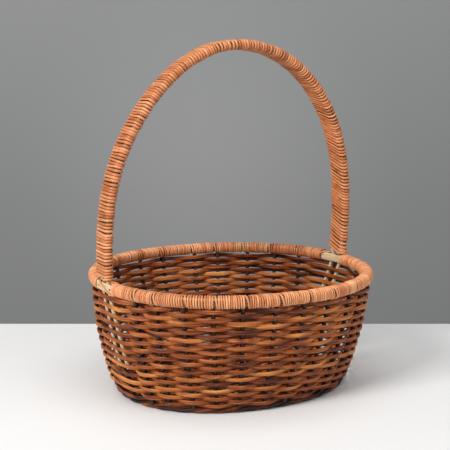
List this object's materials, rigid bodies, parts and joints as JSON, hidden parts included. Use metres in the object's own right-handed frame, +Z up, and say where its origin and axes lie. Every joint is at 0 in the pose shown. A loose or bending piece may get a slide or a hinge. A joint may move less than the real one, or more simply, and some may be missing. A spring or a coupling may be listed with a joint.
{
  "type": "wicker basket with bow handle",
  "caption": "Oval woven wicker basket with a cane-bound rim and one fixed, tall bow handle bound in the same cane.",
  "frame": {"origin": "on the table, under the middle of the basket's outline, at the flat underside of the foot ring", "axes": "+Z up through the mouth to the top of the handle; X is the long way of the oval, from about one handle foot to the other (the hand-set handle turns about 3 degrees from it); Y is the narrower way, across the handle"},
  "size_m": [0.335, 0.3192, 0.4063],
  "materials": {
    "weaver": "satin",
    "stake": "satin",
    "binding": "satin",
    "bare_cane": "matte",
    "nail": "satin"
  },
  "bodies": {
    "root": {"base_mat": "weaver", "base_sticks_long": "stake", "base_sticks_cross": "stake", "foot_wale": "weaver", "weaver_row_01": "weaver", "weaver_row_02": "weaver", "weaver_row_03": "weaver", "weaver_row_04": "weaver", "weaver_row_05": "weaver", "weaver_row_06": "weaver", "weaver_row_07": "weaver", "weaver_row_08": "weaver", "weaver_row_09": "weaver", "weaver_row_10": "weaver", "weaver_row_11": "weaver", "weaver_row_12": "weaver", "weaver_row_13": "weaver", "weaver_row_14": "weaver", "weaver_row_15": "weaver", "weaver_row_16": "weaver", "weaver_row_17": "weaver", "weaver_row_18": "weaver", "weaver_row_19": "weaver", "weaver_row_20": "weaver", "weaver_row_21": "weaver", "weaver_row_22": "weaver", "weaver_row_23": "weaver", "weaver_row_24": "weaver", "weaver_row_25": "weaver", "stake_pair_01": "stake", "stake_pair_02": "stake", "stake_pair_03": "stake", "stake_pair_04": "stake", "stake_pair_05": "stake", "stake_pair_06": "stake", "stake_pair_07": "stake", "stake_pair_08": "stake", "stake_pair_09": "stake", "stake_pair_10": "stake", "stake_pair_11": "stake", "stake_pair_12": "stake", "stake_pair_13": "stake", "rim_hoop_outer": "bare_cane", "rim_hoop_inner": "bare_cane", "hoop_nails": "nail", "rim_binding_back": "binding", "rim_binding_front": "binding", "foot_lashing_left": "binding", "foot_lashing_right": "binding", "handle_rod_front": "bare_cane", "handle_rod_back": "bare_cane", "handle_binding": "binding"}
  },
  "joints": []
}
